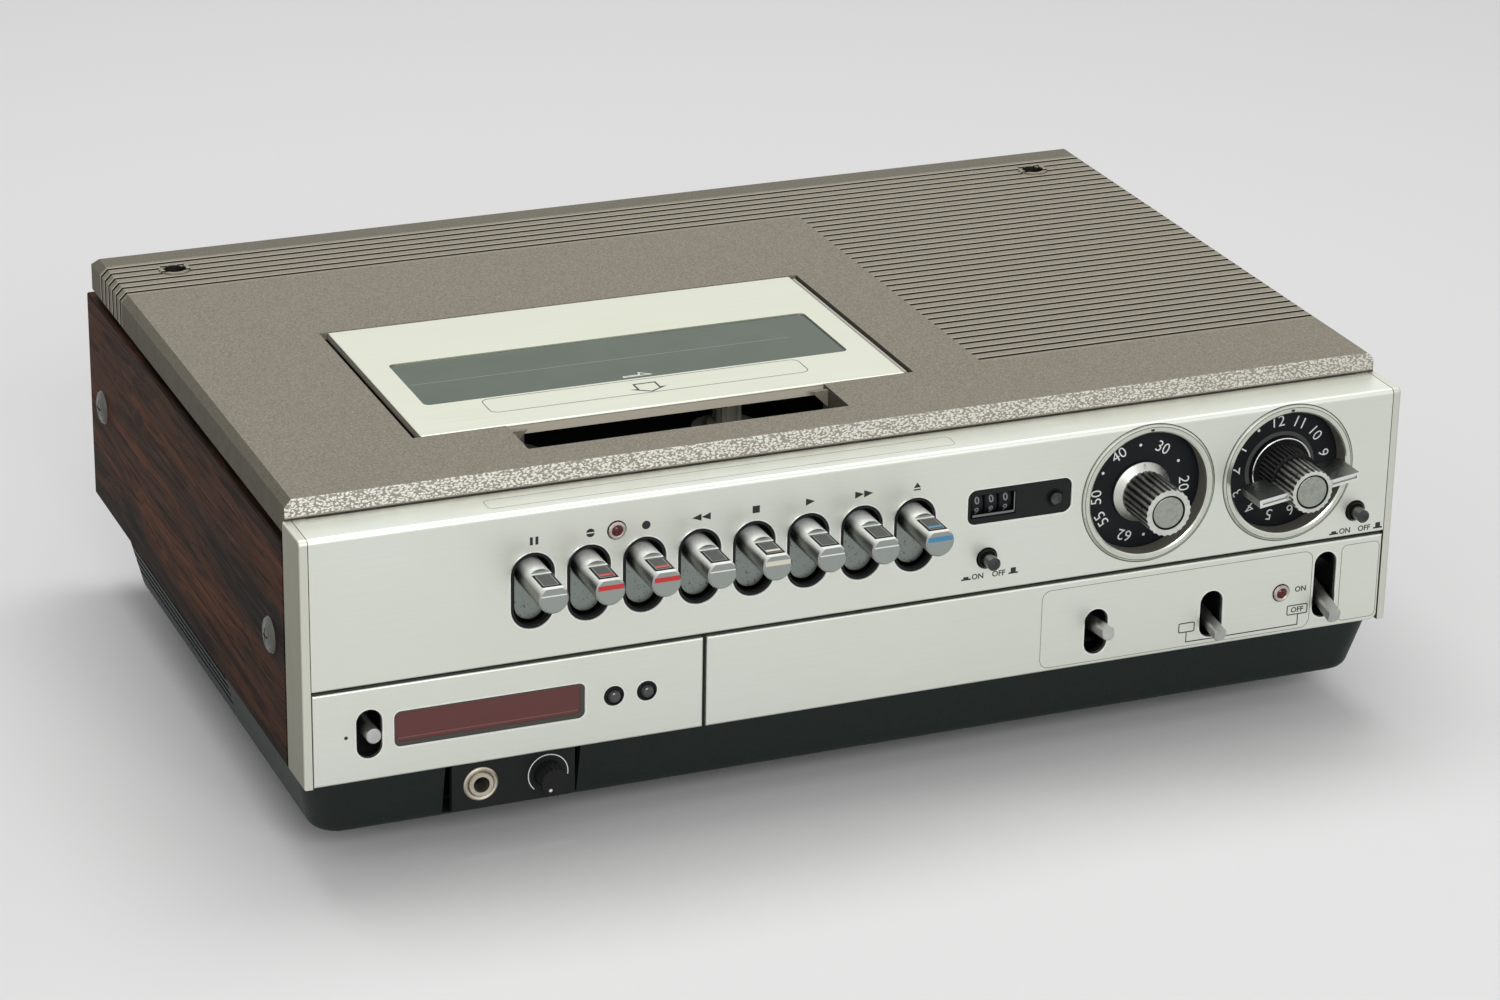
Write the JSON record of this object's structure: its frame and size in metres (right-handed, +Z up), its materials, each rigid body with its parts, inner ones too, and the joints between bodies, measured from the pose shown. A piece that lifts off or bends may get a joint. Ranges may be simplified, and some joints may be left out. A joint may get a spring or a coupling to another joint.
{
  "type": "top-loading video cassette recorder",
  "caption": "Top-loading video cassette recorder with a rising cassette carriage, finger keys, tuner dials, timer panel and wood sides.",
  "frame": {"origin": "on the floor, in the middle of the footprint", "axes": "+X to the right seen from the front, +Y to the back, +Z up; the controls face -Y"},
  "size_m": [0.4572, 0.3374, 0.1477],
  "materials": {
    "base_black": "moulded, satin black",
    "foot_rubber": "matt black",
    "trim_black": "satin black",
    "brushed_panel": "brushed along its length, anodised",
    "cheek_silver": "satin",
    "rosewood": "dark red-brown grain, satin lacquer",
    "bright_screw": "bright plated",
    "dark_screw": "plated",
    "cover_taupe": "satin taupe metallic paint",
    "rear_steel": "matt black paint",
    "deck_alloy": "cast, plain",
    "plain_steel": "zinc plated",
    "core_steel": "varnished laminations",
    "bright_ring": "polished",
    "display_red": "dark red window",
    "lamp_red": "clear red",
    "jack_silver": "satin",
    "knob_silver": "turned, satin",
    "dial_black": "matt black, printed numbers",
    "knob_black": "black",
    "wheel_black": "black with white figures",
    "key_silver": "silver fingers with a dark pad and a coloured stripe",
    "lid_silver": "satin champagne",
    "window_smoke": "smoked grey-green acrylic",
    "reel_ivory": "ivory",
    "drum_alloy": "machined"
  },
  "bodies": {
    "cabinet": {"base_pan": "base_black", "feet": "foot_rubber", "front_frame": "trim_black", "front_panel": "brushed_panel", "timer_panel": "brushed_panel", "switch_panel": "brushed_panel", "end_cheeks": "cheek_silver", "wood_sides": "rosewood", "phono_sockets": "jack_silver", "side_screws": "bright_screw", "top_cover": "cover_taupe", "cover_screws": "dark_screw", "rear_panel": "rear_steel", "rear_terminals": "trim_black", "inner_frame": "rear_steel", "deck_plate": "deck_alloy", "lift_brackets": "plain_steel", "power_transformer": "core_steel", "tuners": "plain_steel", "key_escutcheon": "trim_black", "key_bracket": "plain_steel", "dial_rings": "bright_ring", "counter_frame": "trim_black", "timer_window": "display_red", "indicator_lamps": "lamp_red", "mic_jack": "jack_silver"},
    "key_pause": {"key_pause": "key_silver"},
    "key_audio_dub": {"key_audio_dub": "key_silver"},
    "key_rec": {"key_rec": "key_silver"},
    "key_rew": {"key_rew": "key_silver"},
    "key_stop": {"key_stop": "key_silver"},
    "key_play": {"key_play": "key_silver"},
    "key_fast_forward": {"key_fast_forward": "key_silver"},
    "key_eject": {"key_eject": "key_silver"},
    "uhf_selector": {"uhf_knob": "knob_silver", "uhf_dial": "dial_black"},
    "vhf_selector": {"vhf_knob": "knob_silver", "vhf_dial": "dial_black"},
    "vhf_fine_tuner": {"vhf_fine_tuner": "knob_black"},
    "counter_units": {"counter_units": "wheel_black"},
    "counter_tens": {"counter_tens": "wheel_black"},
    "counter_hundreds": {"counter_hundreds": "wheel_black"},
    "counter_reset": {"counter_reset": "knob_black"},
    "search_button": {"search_button": "knob_black"},
    "aft_button": {"aft_button": "knob_black"},
    "hour_button": {"hour_button": "knob_black"},
    "minute_button": {"minute_button": "knob_black"},
    "timer_select_lever": {"timer_select_lever": "knob_silver"},
    "rec_select_lever": {"rec_select_lever": "knob_silver"},
    "video_tv_lever": {"video_tv_lever": "knob_silver"},
    "power_lever": {"power_lever": "knob_silver"},
    "tracking_knob": {"tracking_knob": "knob_black"},
    "lift_outer": {"lift_arms_outer": "plain_steel"},
    "lift_inner": {"lift_arms_inner": "plain_steel"},
    "carriage": {"cassette_carriage": "plain_steel", "lid_plate": "lid_silver", "lid_window": "window_smoke"},
    "supply_reel": {"supply_reel": "reel_ivory"},
    "take_up_reel": {"take_up_reel": "reel_ivory"},
    "drum": {"upper_drum": "drum_alloy"}
  },
  "joints": [
    {"name": "pause_press", "type": "hinge", "parent": "cabinet", "child": "key_pause", "pos_m": [-0.1372, -0.07935, 0.1017], "axis": [1, 0, 0], "range_deg": [0, 10], "stiffness_Nm_per_rad": 0.6},
    {"name": "audio_dub_press", "type": "hinge", "parent": "cabinet", "child": "key_audio_dub", "pos_m": [-0.1152, -0.07935, 0.1017], "axis": [1, 0, 0], "range_deg": [0, 10], "stiffness_Nm_per_rad": 0.6},
    {"name": "rec_press", "type": "hinge", "parent": "cabinet", "child": "key_rec", "pos_m": [-0.0932, -0.07935, 0.1017], "axis": [1, 0, 0], "range_deg": [0, 10], "stiffness_Nm_per_rad": 0.6},
    {"name": "rew_press", "type": "hinge", "parent": "cabinet", "child": "key_rew", "pos_m": [-0.0712, -0.07935, 0.1017], "axis": [1, 0, 0], "range_deg": [0, 10], "stiffness_Nm_per_rad": 0.6},
    {"name": "stop_press", "type": "hinge", "parent": "cabinet", "child": "key_stop", "pos_m": [-0.0492, -0.07935, 0.1017], "axis": [1, 0, 0], "range_deg": [0, 10], "stiffness_Nm_per_rad": 0.6},
    {"name": "play_press", "type": "hinge", "parent": "cabinet", "child": "key_play", "pos_m": [-0.0272, -0.07935, 0.1017], "axis": [1, 0, 0], "range_deg": [0, 10], "stiffness_Nm_per_rad": 0.6},
    {"name": "fast_forward_press", "type": "hinge", "parent": "cabinet", "child": "key_fast_forward", "pos_m": [-0.0052, -0.07935, 0.1017], "axis": [1, 0, 0], "range_deg": [0, 10], "stiffness_Nm_per_rad": 0.6},
    {"name": "eject_press", "type": "hinge", "parent": "cabinet", "child": "key_eject", "pos_m": [0.0168, -0.07935, 0.1017], "axis": [1, 0, 0], "range_deg": [0, 10], "stiffness_Nm_per_rad": 0.6},
    {"name": "uhf_turn", "type": "hinge", "parent": "cabinet", "child": "uhf_selector", "pos_m": [0.1162, -0.14535, 0.1083], "axis": [0, 1, 0], "range_deg": [-130, 160]},
    {"name": "vhf_turn", "type": "hinge", "parent": "cabinet", "child": "vhf_selector", "pos_m": [0.1775, -0.14535, 0.1094], "axis": [0, 1, 0], "continuous": true},
    {"name": "fine_tune_turn", "type": "hinge", "parent": "cabinet", "child": "vhf_fine_tuner", "pos_m": [0.1775, -0.14535, 0.1094], "axis": [0, 1, 0], "continuous": true},
    {"name": "units_turn", "type": "hinge", "parent": "cabinet", "child": "counter_units", "pos_m": [0.0498, -0.13575, 0.1141], "axis": [1, 0, 0], "continuous": true},
    {"name": "tens_turn", "type": "hinge", "parent": "cabinet", "child": "counter_tens", "pos_m": [0.0498, -0.13575, 0.1141], "axis": [1, 0, 0], "continuous": true},
    {"name": "hundreds_turn", "type": "hinge", "parent": "cabinet", "child": "counter_hundreds", "pos_m": [0.0498, -0.13575, 0.1141], "axis": [1, 0, 0], "continuous": true},
    {"name": "counter_reset_push", "type": "slide", "parent": "cabinet", "child": "counter_reset", "axis": [0, 1, 0], "range_m": [0, 0.0015], "stiffness_N_per_m": 250},
    {"name": "search_button_push", "type": "slide", "parent": "cabinet", "child": "search_button", "axis": [0, 1, 0], "range_m": [0, 0.003], "stiffness_N_per_m": 250},
    {"name": "aft_button_push", "type": "slide", "parent": "cabinet", "child": "aft_button", "axis": [0, 1, 0], "range_m": [0, 0.003], "stiffness_N_per_m": 250},
    {"name": "hour_button_push", "type": "slide", "parent": "cabinet", "child": "hour_button", "axis": [0, 1, 0], "range_m": [0, 0.0009], "stiffness_N_per_m": 250},
    {"name": "minute_button_push", "type": "slide", "parent": "cabinet", "child": "minute_button", "axis": [0, 1, 0], "range_m": [0, 0.0009], "stiffness_N_per_m": 250},
    {"name": "timer_select_lever_tilt", "type": "hinge", "parent": "cabinet", "child": "timer_select_lever", "pos_m": [-0.201, -0.12035, 0.0587], "axis": [1, 0, 0], "range_deg": [-9, 15]},
    {"name": "rec_select_lever_tilt", "type": "hinge", "parent": "cabinet", "child": "rec_select_lever", "pos_m": [0.0963, -0.12035, 0.0539], "axis": [1, 0, 0], "range_deg": [0, 12]},
    {"name": "video_tv_lever_tilt", "type": "hinge", "parent": "cabinet", "child": "video_tv_lever", "pos_m": [0.1471, -0.12035, 0.0537], "axis": [1, 0, 0], "range_deg": [-19, 0]},
    {"name": "power_lever_tilt", "type": "hinge", "parent": "cabinet", "child": "power_lever", "pos_m": [0.1976, -0.12035, 0.0588], "axis": [1, 0, 0], "range_deg": [-32, 0]},
    {"name": "tracking_turn", "type": "hinge", "parent": "cabinet", "child": "tracking_knob", "pos_m": [-0.1303, -0.14535, 0.0293], "axis": [0, 1, 0], "range_deg": [0, 300]},
    {"name": "lift_outer_swing", "type": "hinge", "parent": "cabinet", "child": "lift_outer", "pos_m": [-0.0597, -0.07535, 0.1127], "axis": [1, 0, 0], "range_deg": [0, 25.05]},
    {"name": "lift_inner_swing", "type": "hinge", "parent": "lift_outer", "child": "lift_inner", "pos_m": [-0.0597, -0.02397, 0.1207], "axis": [1, 0, 0], "range_deg": [-50.09, 0]},
    {"name": "carriage_level", "type": "hinge", "parent": "lift_inner", "child": "carriage", "pos_m": [-0.0597, -0.07535, 0.1287], "axis": [1, 0, 0], "range_deg": [0, 25.05]},
    {"name": "supply_spin", "type": "hinge", "parent": "cabinet", "child": "supply_reel", "pos_m": [-0.1057, -0.02835, 0.1057], "axis": [0, 0, 1], "continuous": true},
    {"name": "take_up_spin", "type": "hinge", "parent": "cabinet", "child": "take_up_reel", "pos_m": [-0.0137, -0.02835, 0.1057], "axis": [0, 0, 1], "continuous": true},
    {"name": "drum_spin", "type": "hinge", "parent": "cabinet", "child": "drum", "pos_m": [-0.0597, 0.07665, 0.1057], "axis": [0, -0.0872, 0.9962], "continuous": true}
  ],
  "couplings": [
    {"joint": "tens_turn", "follows": "units_turn", "ratio": 0.1},
    {"joint": "hundreds_turn", "follows": "units_turn", "ratio": 0.01},
    {"joint": "lift_inner_swing", "follows": "lift_outer_swing", "ratio": -2},
    {"joint": "carriage_level", "follows": "lift_outer_swing", "ratio": 1}
  ]
}
